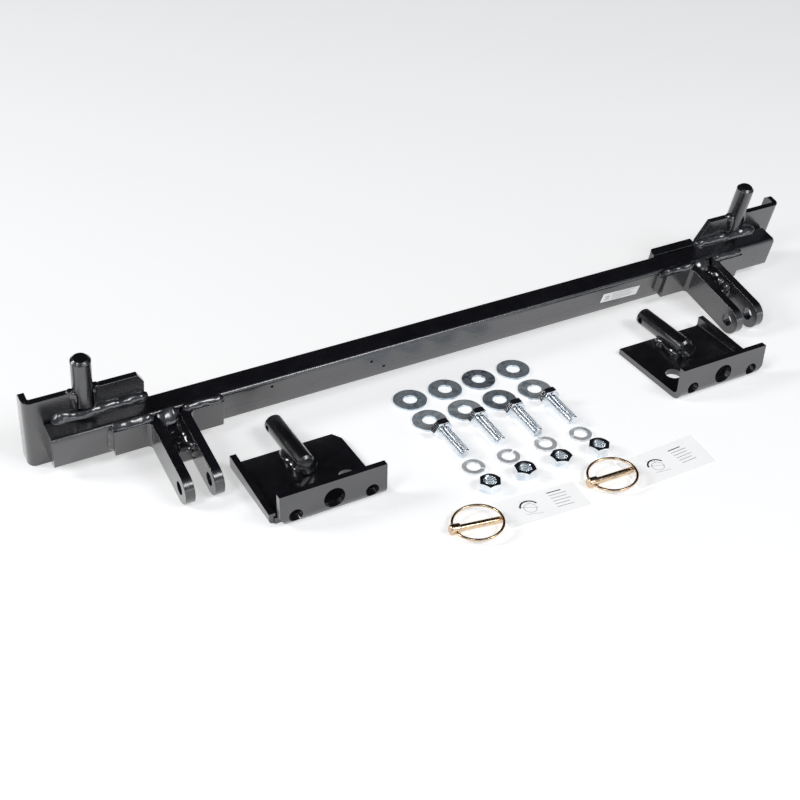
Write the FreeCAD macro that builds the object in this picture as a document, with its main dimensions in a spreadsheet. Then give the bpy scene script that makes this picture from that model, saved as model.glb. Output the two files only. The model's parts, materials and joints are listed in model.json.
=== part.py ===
import FreeCAD, Part
import math
import os
import re
from types import SimpleNamespace

import Sketcher

# Mounting kit of a flat-towing tow bar, laid out on a flat surface: a crossbar with two clevises,
# two frame brackets, four sets of half-inch fasteners, two linch pins and two decal sheets.
# Millimetres, +Z up, +X along the crossbar, the pieces in front of it towards -Y.

SIZES = {
    # crossbar tube
    "tube_length": 853.0, "tube_depth": 25.4, "tube_height": 38.1, "tube_wall": 3.2,
    "tube_corner": 4.2, "cap_thickness": 3.0, "vent_radius": 1.6,
    # how the crossbar leans on its clevis tips, and where it lies
    "lean": 12.5, "layout_y": 116.0,
    # end plates, bent back at their outer edge, and their posts
    "end_inner_x": 330.0, "end_outer_x": 443.5, "end_thickness": 6.35, "end_top": 47.5,
    "end_flange": 20.0, "end_bend": 8.0, "left_chamfer_x": 6.0, "left_chamfer_z": 10.0,
    "right_chamfer_x": 11.0, "right_chamfer_z": 26.0, "flange_chamfer": 4.0,
    "left_post_x": 387.5, "right_post_x": 380.0, "post_radius": 9.525, "post_base": 29.0, "post_top": 86.0,
    "post_chamfer": 3.0,
    # clevises: two bent ears and a web block each
    "clevis_x": 317.5, "ear_gap": 19.05, "ear_thickness": 9.525, "ear_reach": 92.7,
    "ear_hole_z": 3.175, "ear_hole_radius": 6.55, "ear_tip_radius": 15.875, "foot_length": 35.0,
    "ear_outer_bend": 12.0, "ear_inner_bend": 4.5, "web_front": 57.0, "web_top": 9.0,
    "web_bend": 8.0,
    # doubler bar and label
    "doubler_inner_x": 270.0, "doubler_outer_x": 329.5, "doubler_depth": 11.3,
    "doubler_chamfer": 4.0, "label_x": 184.0, "label_width": 50.0, "label_low": -6.0,
    "label_height": 14.0, "label_skew": 2.0, "label_thickness": 0.3,
    # weld beads
    "weld_leg": 4.5, "weld_crown": 0.6, "web_weld_leg": 3.2, "plate_weld_leg": 6.0,
    "plate_weld_inner_x": 330.0, "plate_weld_outer_x": 410.0, "foot_bead_height": 1.8,
    "foot_bead_width": 8.5, "post_weld_leg": 7.2, "post_weld_overlap": 1.5,
    # frame brackets
    "plate_width": 106.7, "plate_depth": 102.5, "plate_thickness": 6.35, "flange_height": 38.0,
    "lip_reach": 5.0, "lip_start": 14.0, "lip_front_height": 11.0, "lip_back_height": 17.0,
    "lip_bend_radius": 4.5, "lip_inner_bend": 3.0, "bend_radius": 12.35, "inner_bend": 6.0,
    "bracket_hole_radius": 6.75, "bracket_hole_first": 15.25, "bracket_hole_pitch": 76.2,
    "bracket_hole_z": 13.1, "bracket_bore_radius": 10.5, "bracket_bore_z": 19.0,
    "plate_hole_side": 21.5, "plate_hole_y": 38.0, "plate_hole_radius": 8.5,
    "relief_x": 8.5, "relief_z": 13.7,
    "plate_chamfer_x": 6.0, "plate_chamfer_y": 10.0,
    "pin_radius": 9.525, "pin_start": 58.0, "pin_end": 135.0,
    "pin_chamfer": 2.5, "pin_hole_radius": 3.5, "pin_hole_y": 126.5, "pin_weld_length": 40.0,
    # half-inch fasteners
    "hex_across_flats": 19.05, "hex_chamfer": 1.0, "head_height": 7.9, "shank_radius": 6.3,
    "shank_length": 38.1, "shank_chamfer": 1.2, "nut_height": 11.1, "nut_bore_radius": 5.75,
    "lock_outer_radius": 11.2, "lock_inner_radius": 6.6, "lock_height": 3.1, "lock_slit": 1.6,
    "lock_slant": 25.0,
    "washer_outer_radius": 17.45, "washer_inner_radius": 7.15, "washer_height": 2.5,
    # linch pins and decal sheets
    "linch_radius": 3.175, "linch_length": 51.0, "linch_head_radius": 4.9,
    "linch_head_length": 9.5, "linch_chamfer": 1.0, "linch_hinge": 4.8, "wire_radius": 1.3,
    "wire_clearance": 0.08, "loop_radius": 23.2, "loop_half_chord": 7.0, "sheet_thickness": 0.4,
    "sheet_corner": 1.5, "sheet_clearance": 0.05,
}
size = SimpleNamespace(**SIZES)

# Where the loose pieces lie, from the crossbar's middle: left to right, then front to back.
BRACKET_CORNERS = {"left": (-273.7, -171.5), "right": (167.9, -176.0)}
FAR_WASHERS = ((-74.3, -47.9), (-33.3, -48.0), (6.8, -48.1), (48.8, -48.7))
NEAR_WASHERS = ((-74.4, -87.7), (-33.9, -88.5), (6.3, -89.6), (48.3, -90.1))
BOLT_TIPS = ((-74.7, -156.8), (-34.1, -156.5), (5.8, -160.7), (47.6, -160.0))
BOLT_TURNS = (2.2, 1.5, 0.9, 1.4)
LOCK_WASHERS = ((-75.2, -172.5), (-37.0, -174.0), (5.6, -173.7), (45.2, -176.0))
LOCK_TURNS = (-40, 35, 110, 185)
NUTS = ((-77.5, -205.4), (-38.1, -204.0), (2.4, -204.2), (45.1, -206.0))
NUT_TURNS = (0, 17, 34, 51)
LINCH_HEADS = ((-143.0, -243.7), (4.3, -246.2))
LINCH_TURNS = (-7.7, -0.8)
SHEETS = (
    ((-87.5, -222.6), (-3.1, -231.9), (-6.3, -268.2), (-91.7, -262.9)),
    ((49.2, -228.2), (142.8, -224.5), (137.1, -270.4), (46.2, -271.0)),
)
VENT_HOLES = ((-209.9, 10.5), (-100.3, 5.7), (-85.0, -5.6))

document = FreeCAD.newDocument("TowBarKit")
sheet = document.addObject("Spreadsheet::Sheet", "Sizes")
for row, (alias, value) in enumerate(SIZES.items(), start=1):
    sheet.set(f"A{row}", alias)
    sheet.set(f"B{row}", str(value))
    sheet.setAlias(f"B{row}", alias)
document.recompute()

nodes = []


# ---------------------------------------------------------------- binding and drawing helpers

def cells(text):
    """Point every name in an expression at its cell in the sheet, leaving functions alone."""
    return re.sub(r"\b([a-z]\w*)\b(?!\()", r"Sizes.\1", text)


def bind(thing, **sizes):
    """Bind properties to expressions of the sheet's aliases."""
    for name, text in sizes.items():
        thing.setExpression(name, cells(text))


def node(thing, label, placement=None):
    """Name a finished sub-part and put it in its place."""
    thing.Label = label
    if placement is not None:
        thing.Placement = placement
    nodes.append(thing)
    return thing


def body_named(label, placement=None):
    """Start an empty body."""
    return node(document.addObject("PartDesign::Body", label.title().replace("_", "")), label, placement)


def sketch_on(body, plane, start="0"):
    """Start a sketch on one of the body's own planes, moved along the plane's normal."""
    sketch = body.newObject("Sketcher::SketchObject", "Sketch")
    support = [plane_object for plane_object in body.Origin.OriginFeatures if plane_object.Role == plane]
    sketch.AttachmentSupport = (support[0], [""])
    sketch.MapMode = "FlatFace"
    sketch.setExpression("AttachmentOffset.Base.z", cells(start))
    return sketch


def fix_point(sketch, geometry, position, across, up, now=(1.0, 1.0)):
    """Bind one point of a sketch, which is drawn at `now`, to a pair of expressions."""
    for kind, text, value in (("DistanceX", across, now[0]), ("DistanceY", up, now[1])):
        index = sketch.addConstraint(Sketcher.Constraint(kind, -1, 1, geometry, position, value))
        sketch.setExpression(f"Constraints[{index}]", cells(text))


def draw_outline(sketch, corners):
    """Draw a closed outline of straight sides whose corners are bound to expressions."""
    count = len(corners)
    turns = [2 * math.pi * index / count for index in range(count + 1)]
    points = [FreeCAD.Vector(50 * math.cos(turn), 50 * math.sin(turn), 0) for turn in turns]
    for index in range(count):
        sketch.addGeometry(Part.LineSegment(points[index], points[index + 1]), False)
    for index in range(count):
        following = (index + 1) % count
        sketch.addConstraint(Sketcher.Constraint("Coincident", index, 2, following, 1))
    for index, (across, up) in enumerate(corners):
        fix_point(sketch, index, 1, across, up)


def draw_circle(sketch, across, up, radius):
    """Draw a circle whose centre and radius are bound to expressions."""
    middle = FreeCAD.Vector(1, 1, 0)
    index = sketch.addGeometry(Part.Circle(middle, FreeCAD.Vector(0, 0, 1), 5), False)
    fix_point(sketch, index, 3, across, up)
    radius_index = sketch.addConstraint(Sketcher.Constraint("Radius", index, 5))
    sketch.setExpression(f"Constraints[{radius_index}]", cells(radius))


def rectangle(low_across, low_up, high_across, high_up):
    """Corners of a rectangle, as expressions."""
    return [(low_across, low_up), (high_across, low_up), (high_across, high_up), (low_across, high_up)]


def pad(body, sketch, length):
    """Pad a sketch along its plane's normal."""
    feature = body.newObject("PartDesign::Pad", "Pad")
    feature.Profile = sketch
    bind(feature, Length=length)
    document.recompute()
    return feature


def pocket(body, sketch, length):
    """Cut a sketch's shape out along its plane's normal, and make sure that it cuts."""
    before = body.Shape.Volume
    feature = body.newObject("PartDesign::Pocket", "Pocket")
    feature.Profile = sketch
    feature.Reversed = True
    bind(feature, Length=length)
    document.recompute()
    if body.Shape.Volume > before - 1e-3:
        raise RuntimeError(f"{body.Label}: a pocket cuts nothing")
    return feature


def edges_near(shape, points):
    """Names of the edges whose middles are nearest to the given points."""
    names = []
    for point in points:
        target = FreeCAD.Vector(*point)
        gaps = [(edge.CenterOfMass - target).Length for edge in shape.Edges]
        names.append(f"Edge{gaps.index(min(gaps)) + 1}")
    return names


def dress(body, kind, points, amount):
    """Fillet or chamfer the body's edges that are nearest to the given points."""
    base = body.Tip
    feature = body.newObject(f"PartDesign::{kind}", kind)
    feature.Base = (base, edges_near(base.Shape, points))
    bind(feature, **{"Radius" if kind == "Fillet" else "Size": amount})
    document.recompute()
    return feature


def solid_plate(label, plane, corners, start, length, placement):
    """A body made by padding one outline."""
    body = body_named(label, placement)
    sketch = sketch_on(body, plane, start)
    draw_outline(sketch, corners)
    pad(body, sketch, length)
    return body


def bead(start, end, first, second, leg):
    """A fillet weld in a square corner: start and end of the corner, and the two legs' directions."""
    corner = FreeCAD.Vector(*start)
    one = corner + FreeCAD.Vector(*first) * leg
    two = corner + FreeCAD.Vector(*second) * leg
    crown = corner + (FreeCAD.Vector(*first) + FreeCAD.Vector(*second)) * leg * size.weld_crown
    sides = [Part.makeLine(corner, one), Part.Arc(one, crown, two).toShape(), Part.makeLine(two, corner)]
    return Part.Face(Part.Wire(sides)).extrude(FreeCAD.Vector(*end) - corner)


def shaped(label, shapes, placement):
    """A sub-part of free-form solids, such as the weld beads of one joint."""
    thing = document.addObject("Part::Feature", label.title().replace("_", ""))
    thing.Shape = shapes[0] if len(shapes) == 1 else Part.makeCompound(shapes)
    return node(thing, label, placement)


def laid(point, height=0.0, turn=0.0):
    """Placement of a piece on the surface, turned about the vertical."""
    place = FreeCAD.Vector(point[0], point[1] + size.layout_y, height)
    return FreeCAD.Placement(place, FreeCAD.Rotation(FreeCAD.Vector(0, 0, 1), turn))


# ---------------------------------------------------------------- the crossbar's own frame

LEAN = math.radians(size.lean)
BAR_HEIGHT = (size.ear_tip_radius + size.ear_reach * math.sin(LEAN)
              - size.ear_hole_z * math.cos(LEAN))
BAR = FreeCAD.Placement(FreeCAD.Vector(0, size.layout_y, BAR_HEIGHT),
                        FreeCAD.Rotation(FreeCAD.Vector(1, 0, 0), size.lean))
# the end plates' lower front edges touch the surface, as the clevis tips do
END_BOTTOM = -(BAR_HEIGHT + size.tube_depth / 2 * math.sin(LEAN)) / math.cos(LEAN)
sheet_row = len(SIZES) + 1
sheet.set(f"A{sheet_row}", "end_bottom")
sheet.set(f"B{sheet_row}", str(END_BOTTOM))
sheet.setAlias(f"B{sheet_row}", "end_bottom")
document.recompute()

HALF_DEPTH = size.tube_depth / 2
HALF_HEIGHT = size.tube_height / 2
SIDES = (("left", -1), ("right", 1))


def make_tube():
    """Rectangular tube with rounded corners and three small vent holes in its front wall."""
    body = body_named("crossbar_tube", BAR)
    sketch = sketch_on(body, "YZ_Plane", "-tube_length / 2")
    draw_outline(sketch, rectangle("-tube_depth / 2", "-tube_height / 2",
                                   "tube_depth / 2", "tube_height / 2"))
    pad(body, sketch, "tube_length")
    corners = [(0, y, z) for y in (-HALF_DEPTH, HALF_DEPTH) for z in (-HALF_HEIGHT, HALF_HEIGHT)]
    dress(body, "Fillet", corners, "tube_corner")
    bore = sketch_on(body, "YZ_Plane", "-tube_length / 2")
    draw_outline(bore, rectangle("tube_wall - tube_depth / 2", "tube_wall - tube_height / 2",
                                 "tube_depth / 2 - tube_wall", "tube_height / 2 - tube_wall"))
    pocket(body, bore, "tube_length")
    vents = sketch_on(body, "XZ_Plane", "tube_wall")
    for x, z in VENT_HOLES:
        draw_circle(vents, str(x), str(z), "vent_radius")
    pocket(body, vents, "tube_depth / 2")


def make_caps():
    """Plugs that close the tube's ends, flush with them."""
    outline = rectangle("tube_wall - tube_depth / 2", "tube_wall - tube_height / 2",
                        "tube_depth / 2 - tube_wall", "tube_height / 2 - tube_wall")
    starts = {"left": "-tube_length / 2", "right": "tube_length / 2 - cap_thickness"}
    for side, start in starts.items():
        solid_plate(f"tube_cap_{side}", "YZ_Plane", outline, start, "cap_thickness", BAR)


def make_end_plate(side, sign):
    """Plate behind the tube's end, outer edge bent back, with a notch in its top for the post."""
    def x(text):
        return f"{sign} * ({text})"
    back = "tube_depth / 2"
    corners = [
        (x("end_inner_x"), back), (x("end_outer_x"), back), (x("end_outer_x"), f"{back} + end_flange"),
        (x("end_outer_x - end_thickness"), f"{back} + end_flange"),
        (x("end_outer_x - end_thickness"), f"{back} + end_thickness"),
        (x("end_inner_x"), f"{back} + end_thickness"),
    ]
    body = solid_plate(f"end_plate_{side}", "XY_Plane", corners, "end_bottom", "end_top - end_bottom", BAR)
    middle = (size.end_top + END_BOTTOM) / 2
    outer = sign * size.end_outer_x
    dress(body, "Fillet", [(outer, HALF_DEPTH, middle)], "end_bend")
    inner = (sign * (size.end_outer_x - size.end_thickness), HALF_DEPTH + size.end_thickness, middle)
    dress(body, "Fillet", [inner], "end_bend - end_thickness")
    cuts = sketch_on(body, "XZ_Plane", "-tube_depth / 2 - end_flange")
    over = "end_top + 1"
    draw_outline(cuts, [
        (x("end_inner_x - 1"), over), (x("end_inner_x - 1"), f"end_top - {side}_chamfer_z"),
        (x("end_inner_x"), f"end_top - {side}_chamfer_z"), (x(f"end_inner_x + {side}_chamfer_x"), "end_top"),
        (x(f"end_inner_x + {side}_chamfer_x"), over)])
    pocket(body, cuts, "end_flange")
    notch = sketch_on(body, "XZ_Plane", "-tube_depth / 2 - end_flange")
    draw_outline(notch, rectangle(x(f"{side}_post_x - post_radius"), "post_base",
                                  x(f"{side}_post_x + post_radius"), over))
    pocket(body, notch, "end_flange")
    corner = sketch_on(body, "YZ_Plane", "-end_outer_x" if sign < 0 else "end_outer_x - end_thickness")
    rear = f"{back} + end_flange"
    draw_outline(corner, [(f"{rear} + 1", "end_top - flange_chamfer - 1"), (f"{rear} + 1", over),
                          (f"{rear} - flange_chamfer - 1", over)])
    pocket(body, corner, "end_thickness")


def make_post(side, sign):
    """Round post with a chamfered end, standing in the end plate's notch."""
    body = body_named(f"guide_post_{side}", BAR)
    sketch = sketch_on(body, "XY_Plane", "post_base")
    draw_circle(sketch, f"{sign} * {side}_post_x",
                "tube_depth / 2 + end_thickness / 2", "post_radius")
    pad(body, sketch, "post_top - post_base")
    middle = (sign * SIZES[f"{side}_post_x"], HALF_DEPTH + size.end_thickness / 2, size.post_top)
    dress(body, "Chamfer", [middle], "post_chamfer")


def make_ear(label, clevis, direction):
    """Clevis ear: a bar bent into a foot on the tube's front face, with a round drilled tip."""
    def x(text):
        return f"{clevis} * clevis_x + {direction} * ({text})"
    face = "-tube_depth / 2"
    outside = "ear_gap / 2 + ear_thickness"
    corners = [
        (x("ear_gap / 2"), face), (x(f"{outside} + foot_length"), face),
        (x(f"{outside} + foot_length"), f"{face} - ear_thickness"),
        (x(outside), f"{face} - ear_thickness"),
        (x(outside), "-ear_reach - ear_tip_radius"), (x("ear_gap / 2"), "-ear_reach - ear_tip_radius"),
    ]
    low = "ear_hole_z - ear_tip_radius"
    body = solid_plate(label, "XY_Plane", corners, low, "2 * ear_tip_radius", BAR)
    place = clevis * size.clevis_x
    gap_side = (place + direction * size.ear_gap / 2, -HALF_DEPTH, size.ear_hole_z)
    dress(body, "Fillet", [gap_side], "ear_outer_bend")
    foot_side = (place + direction * (size.ear_gap / 2 + size.ear_thickness),
                 -HALF_DEPTH - size.ear_thickness, size.ear_hole_z)
    dress(body, "Fillet", [foot_side], "ear_inner_bend")
    near = x("ear_gap / 2 - 1") if direction > 0 else x(f"{outside} + 1")
    tip = sketch_on(body, "YZ_Plane", near)
    draw_round_tip(tip)
    pocket(body, tip, "ear_thickness + 2")
    hole = sketch_on(body, "YZ_Plane", near)
    draw_circle(hole, "-ear_reach", "ear_hole_z", "ear_hole_radius")
    pocket(body, hole, "ear_thickness + 2")


def draw_round_tip(sketch):
    """The waste around an ear's round tip: a block beyond the hole less the half circle."""
    reach = FreeCAD.Vector(-size.ear_reach, size.ear_hole_z, 0)
    up = FreeCAD.Vector(0, size.ear_tip_radius, 0)
    out = FreeCAD.Vector(-size.ear_tip_radius, 0, 0)
    margin = 5
    wide = FreeCAD.Vector(-margin, 0, 0)
    tall = FreeCAD.Vector(0, margin, 0)
    corners = [reach - up, reach - up - tall, reach - up - tall + out + wide,
               reach + up + tall + out + wide, reach + up + tall, reach + up]
    for start, end in zip(corners, corners[1:]):
        sketch.addGeometry(Part.LineSegment(start, end), False)
    sketch.addGeometry(Part.Arc(corners[-1], reach + out, corners[0]), False)
    sides = len(corners) - 1
    for index in range(sides - 1):
        sketch.addConstraint(Sketcher.Constraint("Coincident", index, 2, index + 1, 1))
    for index in range(sides):
        upright = index % 2 == 0
        sketch.addConstraint(Sketcher.Constraint("Vertical" if upright else "Horizontal", index))
    sketch.addConstraint(Sketcher.Constraint("Coincident", sides - 1, 2, sides, 1))
    sketch.addConstraint(Sketcher.Constraint("Coincident", sides, 2, 0, 1))
    radius = sketch.addConstraint(Sketcher.Constraint("Radius", sides, size.ear_tip_radius))
    sketch.setExpression(f"Constraints[{radius}]", cells("ear_tip_radius"))
    fix_point(sketch, sides, 3, "-ear_reach", "ear_hole_z", now=(reach.x, reach.y))


def make_web(side, sign):
    """Spacer block welded between a clevis's ears against the tube's front face."""
    corners = [("-tube_depth / 2", "ear_hole_z - ear_tip_radius"), ("-tube_depth / 2", "web_top"),
               ("-web_front", "web_top"), ("-web_front", "ear_hole_z - ear_tip_radius")]
    body = solid_plate(f"clevis_web_{side}", "YZ_Plane", corners,
                       f"{sign} * clevis_x - ear_gap / 2", "ear_gap", BAR)
    lower_edge = (sign * size.clevis_x, -size.web_front, size.ear_hole_z - size.ear_tip_radius)
    dress(body, "Fillet", [lower_edge], "web_bend")


def make_doubler():
    """Flat bar on the back of the tube, between the right clevis and the right end plate."""
    back = "tube_depth / 2"
    corners = [("doubler_inner_x", back), ("doubler_outer_x", back),
               ("doubler_outer_x", f"{back} + doubler_depth"),
               ("doubler_inner_x + doubler_chamfer", f"{back} + doubler_depth"),
               ("doubler_inner_x", f"{back} + doubler_depth - doubler_chamfer")]
    solid_plate("doubler_right", "XY_Plane", corners, "-tube_height / 2", "tube_height", BAR)


def make_label():
    """Small blank decal on the tube's front face, set slightly out of square."""
    corners = [("label_x", "label_low + label_skew"), ("label_x + label_width", "label_low"),
               ("label_x + label_width + label_skew", "label_low + label_height - label_skew"),
               ("label_x + label_skew", "label_low + label_height")]
    solid_plate("bar_label", "XZ_Plane", corners, "tube_depth / 2", "label_thickness", BAR)


def make_bar_welds(side, sign):
    """The weld beads of one end of the crossbar, a sub-part for each joint."""
    clevis = sign * size.clevis_x
    low = size.ear_hole_z - size.ear_tip_radius
    foot_end = size.ear_gap / 2 + size.ear_thickness + size.foot_length
    feet = []
    for direction in (-1, 1):
        end = clevis + direction * foot_end
        feet.append(bead((end, -HALF_DEPTH, low), (end, -HALF_DEPTH, HALF_HEIGHT - size.tube_corner),
                         (direction, 0, 0), (0, -1, 0), size.weld_leg))
        start = clevis + direction * (size.ear_gap / 2 + size.ear_outer_bend)
        feet.append(crown_bead(start, end))
    shaped(f"foot_welds_{side}", feet, BAR)
    webs = []
    for direction in (-1, 1):
        edge = clevis + direction * size.ear_gap / 2
        inner = -HALF_DEPTH - size.ear_outer_bend
        webs.append(bead((edge, -size.web_front, size.web_top), (edge, inner, size.web_top),
                         (-direction, 0, 0), (0, 0, 1), size.web_weld_leg))
        webs.append(bead((edge, -size.web_front, low + size.web_bend),
                         (edge, -size.web_front, size.web_top),
                         (-direction, 0, 0), (0, -1, 0), size.web_weld_leg))
    shaped(f"web_welds_{side}", webs, BAR)
    shaped(f"plate_weld_{side}",
           [bead((sign * size.plate_weld_inner_x, HALF_DEPTH, HALF_HEIGHT),
                 (sign * size.plate_weld_outer_x, HALF_DEPTH, HALF_HEIGHT),
                 (0, -1, 0), (0, 0, 1), size.plate_weld_leg)], BAR)
    post_x = sign * SIZES[f"{side}_post_x"]
    post_y = HALF_DEPTH + size.end_thickness / 2
    post = Part.makeCylinder(size.post_radius, size.post_top, FreeCAD.Vector(post_x, post_y, 0))
    beads = []
    for direction in (-1, 1):
        inside = post_x + direction * (size.post_radius - size.post_weld_overlap)
        run = bead((inside, HALF_DEPTH, size.post_base), (inside, HALF_DEPTH, size.end_top),
                   (direction, 0, 0), (0, -1, 0), size.post_weld_leg)
        beads.append(run.cut(post))
    shaped(f"post_welds_{side}", beads, BAR)


def crown_bead(start, end):
    """A low bead along the top of a foot, over its joint with the tube."""
    middle = -HALF_DEPTH
    half = size.foot_bead_width / 2
    left = FreeCAD.Vector(start, middle - half, HALF_HEIGHT)
    right = FreeCAD.Vector(start, middle + half, HALF_HEIGHT)
    top = FreeCAD.Vector(start, middle, HALF_HEIGHT + size.foot_bead_height)
    wire = Part.Wire([Part.makeLine(left, right), Part.Arc(right, top, left).toShape()])
    return Part.Face(wire).extrude(FreeCAD.Vector(end - start, 0, 0))


# ---------------------------------------------------------------- frame brackets

def make_bracket(side, mirrored):
    """Frame bracket: a bent floor plate with a drilled front flange and a low lip along one side."""
    place = laid(BRACKET_CORNERS[side])
    width, depth, thick = size.plate_width, size.plate_depth, size.plate_thickness

    def x(text):
        return f"plate_width - ({text})" if mirrored else text

    def across(value):
        return width - value if mirrored else value

    rise = [("0", "0"), ("plate_depth", "0"), ("plate_depth", "plate_thickness"),
            ("plate_thickness", "plate_thickness"), ("plate_thickness", "flange_height"),
            ("0", "flange_height")]
    body = solid_plate(f"bracket_plate_{side}", "YZ_Plane", rise, "0", "plate_width", place)
    dress(body, "Fillet", [(width / 2, 0, 0)], "bend_radius")
    dress(body, "Fillet", [(width / 2, thick, thick)], "inner_bend")
    lip = sketch_on(body, "YZ_Plane", x("plate_thickness - lip_reach") if mirrored else "-lip_reach")
    draw_outline(lip, [("lip_start", "0"), ("plate_depth", "0"), ("plate_depth", "lip_back_height"),
                       ("lip_start", "lip_front_height")])
    pad(body, lip, "plate_thickness")
    middle = (size.lip_start + depth) / 2
    dress(body, "Fillet", [(across(-size.lip_reach), middle, 0)], "lip_bend_radius")
    dress(body, "Fillet", [(across(thick - size.lip_reach), middle, thick)], "lip_inner_bend")

    holes = sketch_on(body, "XZ_Plane", "-plate_thickness - inner_bend")
    for place_x in ("bracket_hole_first", "bracket_hole_first + bracket_hole_pitch"):
        draw_circle(holes, x(place_x), "bracket_hole_z", "bracket_hole_radius")
    draw_circle(holes, x("bracket_hole_first + bracket_hole_pitch / 2"), "bracket_bore_z",
                "bracket_bore_radius")
    pocket(body, holes, "plate_thickness + inner_bend")
    drilled = sketch_on(body, "XY_Plane", "0")
    draw_circle(drilled, x("plate_width - plate_hole_side"), "plate_hole_y", "plate_hole_radius")
    pocket(body, drilled, "plate_thickness")
    relief = sketch_on(body, "XZ_Plane", "-bend_radius")
    draw_outline(relief, [(x("-1"), "-1"), (x("-1"), "relief_z"), (x("0"), "relief_z"),
                          (x("relief_x"), "0"), (x("relief_x"), "-1")])
    pocket(body, relief, "bend_radius")
    if not mirrored:
        clipped = sketch_on(body, "XY_Plane", "0")
        draw_outline(clipped, [
            ("plate_width + 1", "plate_depth + 1"),
            ("plate_width + 1", "plate_depth - plate_chamfer_y"),
            ("plate_width", "plate_depth - plate_chamfer_y"),
            ("plate_width - plate_chamfer_x", "plate_depth"),
            ("plate_width - plate_chamfer_x", "plate_depth + 1")])
        pocket(body, clipped, "plate_thickness")

    pin = body_named(f"bracket_pin_{side}", place)
    pin_x = "bracket_hole_first + bracket_hole_pitch / 2"
    pin_z = "plate_thickness + pin_radius"
    round_bar = sketch_on(pin, "XZ_Plane", "-pin_end")
    draw_circle(round_bar, x(pin_x), pin_z, "pin_radius")
    pad(pin, round_bar, "pin_end - pin_start")
    centre_x = across(size.bracket_hole_first + size.bracket_hole_pitch / 2)
    centre_z = thick + size.pin_radius
    dress(pin, "Chamfer", [(centre_x, size.pin_start, centre_z), (centre_x, size.pin_end, centre_z)],
          "pin_chamfer")
    cross = sketch_on(pin, "YZ_Plane", "0")
    draw_circle(cross, "pin_hole_y", pin_z, "pin_hole_radius")
    pocket(pin, cross, "plate_width")

    shank = Part.makeCylinder(size.pin_radius, depth, FreeCAD.Vector(centre_x, size.pin_start, centre_z),
                              FreeCAD.Vector(0, 1, 0))
    beads = []
    for direction in (-1, 1):
        corner_x = centre_x + direction * size.pin_radius / 2
        run = bead((corner_x, size.pin_start + size.pin_chamfer, thick),
                   (corner_x, size.pin_start + size.pin_weld_length, thick),
                   (direction, 0, 0), (0, 0, 1), size.pin_radius)
        beads.append(run.cut(shank))
    shaped(f"bracket_pin_welds_{side}", beads, place)


# ---------------------------------------------------------------- fasteners

def primitive(kind, **sizes):
    """A Part primitive bound to the sheet."""
    thing = document.addObject(f"Part::{kind}", kind)
    bind(thing, **sizes)
    return thing


def combined(kind, base, tool):
    """A boolean of two objects."""
    thing = document.addObject(f"Part::{kind}", kind)
    thing.Base = base
    thing.Tool = tool
    return thing


def fused(things):
    """One solid out of several objects."""
    thing = document.addObject("Part::MultiFuse", "Fusion")
    thing.Shapes = things
    thing.Refine = True
    return thing


def chamfered_hexagon(height, both_ends):
    """A hexagonal prism whose corners are turned off at its top, or at both ends."""
    prism = primitive("Prism", Circumradius="hex_across_flats / sqrt(3)", Height=height)
    prism.Polygon = 6
    turned = primitive("Cylinder", Radius="hex_across_flats / sqrt(3)", Height=height)
    document.recompute()
    ends = [FreeCAD.Vector(0, 0, turned.Height.Value)] + ([FreeCAD.Vector()] if both_ends else [])
    rounded = document.addObject("Part::Chamfer", "Turned")
    rounded.Base = turned
    edges = [int(name[4:]) for name in edges_near(turned.Shape, ends)]
    rounded.Edges = [(edge, size.hex_chamfer / 2, size.hex_chamfer) for edge in edges]
    return combined("Common", prism, rounded)


def make_bolt(number, tip, turn):
    """Hex bolt lying on a flat of its head and the end of its shank."""
    head = chamfered_hexagon("head_height", both_ends=False)
    shank = primitive("Cylinder", Radius="shank_radius", Height="shank_length + head_height / 2")
    shank.setExpression("Placement.Base.z", cells("-shank_length"))
    document.recompute()
    end = FreeCAD.Vector(0, 0, -size.shank_length)
    pointed = document.addObject("Part::Chamfer", "Pointed")
    pointed.Base = shank
    edges = [int(name[4:]) for name in edges_near(shank.Shape, [end])]
    pointed.Edges = [(edge, size.shank_chamfer, size.shank_chamfer) for edge in edges]
    bolt = fused([head, pointed])
    flat = size.hex_across_flats / 2
    dip = math.atan2(flat - size.shank_radius, size.shank_length - size.shank_chamfer)
    heading = FreeCAD.Rotation(FreeCAD.Vector(0, 0, 1), turn)
    lying = FreeCAD.Rotation(FreeCAD.Vector(1, 0, 0), -90 + math.degrees(dip))
    whole = heading.multiply(lying)
    place = FreeCAD.Vector(tip[0], tip[1] + size.layout_y, flat * math.cos(dip))
    place -= whole.multVec(FreeCAD.Vector(0, 0, -size.shank_length))
    place.z = flat * math.cos(dip)
    node(bolt, f"hex_bolt_{number}", FreeCAD.Placement(place, whole))


def make_nut(number, place, turn):
    """Hex nut lying flat."""
    hexagon = chamfered_hexagon("nut_height", both_ends=True)
    bore = primitive("Cylinder", Radius="nut_bore_radius", Height="nut_height")
    node(combined("Cut", hexagon, bore), f"hex_nut_{number}", laid(place, turn=turn))


def ring_solid(outer, inner, height):
    """A flat ring."""
    return combined("Cut", primitive("Cylinder", Radius=outer, Height=height),
                    primitive("Cylinder", Radius=inner, Height=height))


def make_lock_washer(number, place, turn):
    """Split spring washer, cut through at a slant."""
    ring = ring_solid("lock_outer_radius", "lock_inner_radius", "lock_height")
    slit = primitive("Box", Length="lock_outer_radius + 2", Width="lock_slit", Height="4 * lock_height")
    slit.Placement = FreeCAD.Placement(FreeCAD.Vector(0, -size.lock_slit / 2, -1.5 * size.lock_height),
                                       FreeCAD.Rotation(FreeCAD.Vector(1, 0, 0), size.lock_slant),
                                       FreeCAD.Vector(0, size.lock_slit / 2, 2 * size.lock_height))
    node(combined("Cut", ring, slit), f"lock_washer_{number}", laid(place, turn=turn))


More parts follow.
